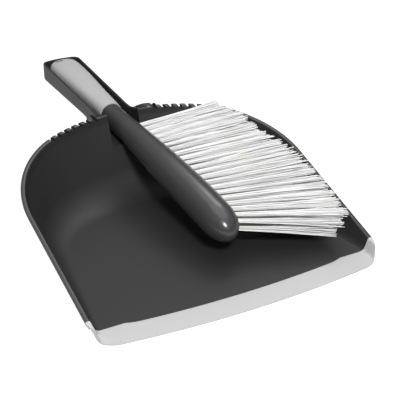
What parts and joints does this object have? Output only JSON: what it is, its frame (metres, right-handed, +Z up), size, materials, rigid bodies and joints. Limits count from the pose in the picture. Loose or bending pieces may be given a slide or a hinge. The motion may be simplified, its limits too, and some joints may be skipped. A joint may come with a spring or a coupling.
{
  "type": "dust pan and brush set",
  "caption": "Wide scoop dust pan with a soft bowed lip, a comb in its back rim and an open trough handle that a long hand brush with side bristles drops into.",
  "frame": {"origin": "under the middle of the whole set, on the surface that the pan rests on", "axes": "+Z up, +Y from the lip to the end of the handle, +X to the side that the bristles point to"},
  "size_m": [0.22, 0.333, 0.0632],
  "materials": {
    "pan_plastic": "semi-matte moulded polypropylene, charcoal",
    "soft_lip": "soft matte elastomer, light grey",
    "brush_plastic": "smooth satin moulded plastic, dark grey",
    "soft_grip": "soft-touch matte elastomer, light grey",
    "bristles": "fine off-white nylon filaments",
    "anchor_wire": "plain flat wire"
  },
  "bodies": {
    "pan": {"pan_body": "pan_plastic", "lip_strip": "soft_lip"},
    "brush": {"brush_body": "brush_plastic", "brush_grip": "soft_grip", "bristle_tuft_01": "bristles", "bristle_tuft_02": "bristles", "bristle_tuft_03": "bristles", "bristle_tuft_04": "bristles", "bristle_tuft_05": "bristles", "bristle_tuft_06": "bristles", "bristle_tuft_07": "bristles", "bristle_tuft_08": "bristles", "bristle_tuft_09": "bristles", "bristle_tuft_10": "bristles", "bristle_tuft_11": "bristles", "bristle_tuft_12": "bristles", "bristle_tuft_13": "bristles", "bristle_tuft_14": "bristles", "bristle_tuft_15": "bristles", "bristle_tuft_16": "bristles", "bristle_tuft_17": "bristles", "bristle_tuft_18": "bristles", "bristle_tuft_19": "bristles", "bristle_tuft_20": "bristles", "tuft_anchors": "anchor_wire"}
  },
  "joints": [
    {"name": "brush_lift", "type": "slide", "parent": "pan", "child": "brush", "axis": [0, 0, 1], "range_m": [0, 0.1]}
  ]
}
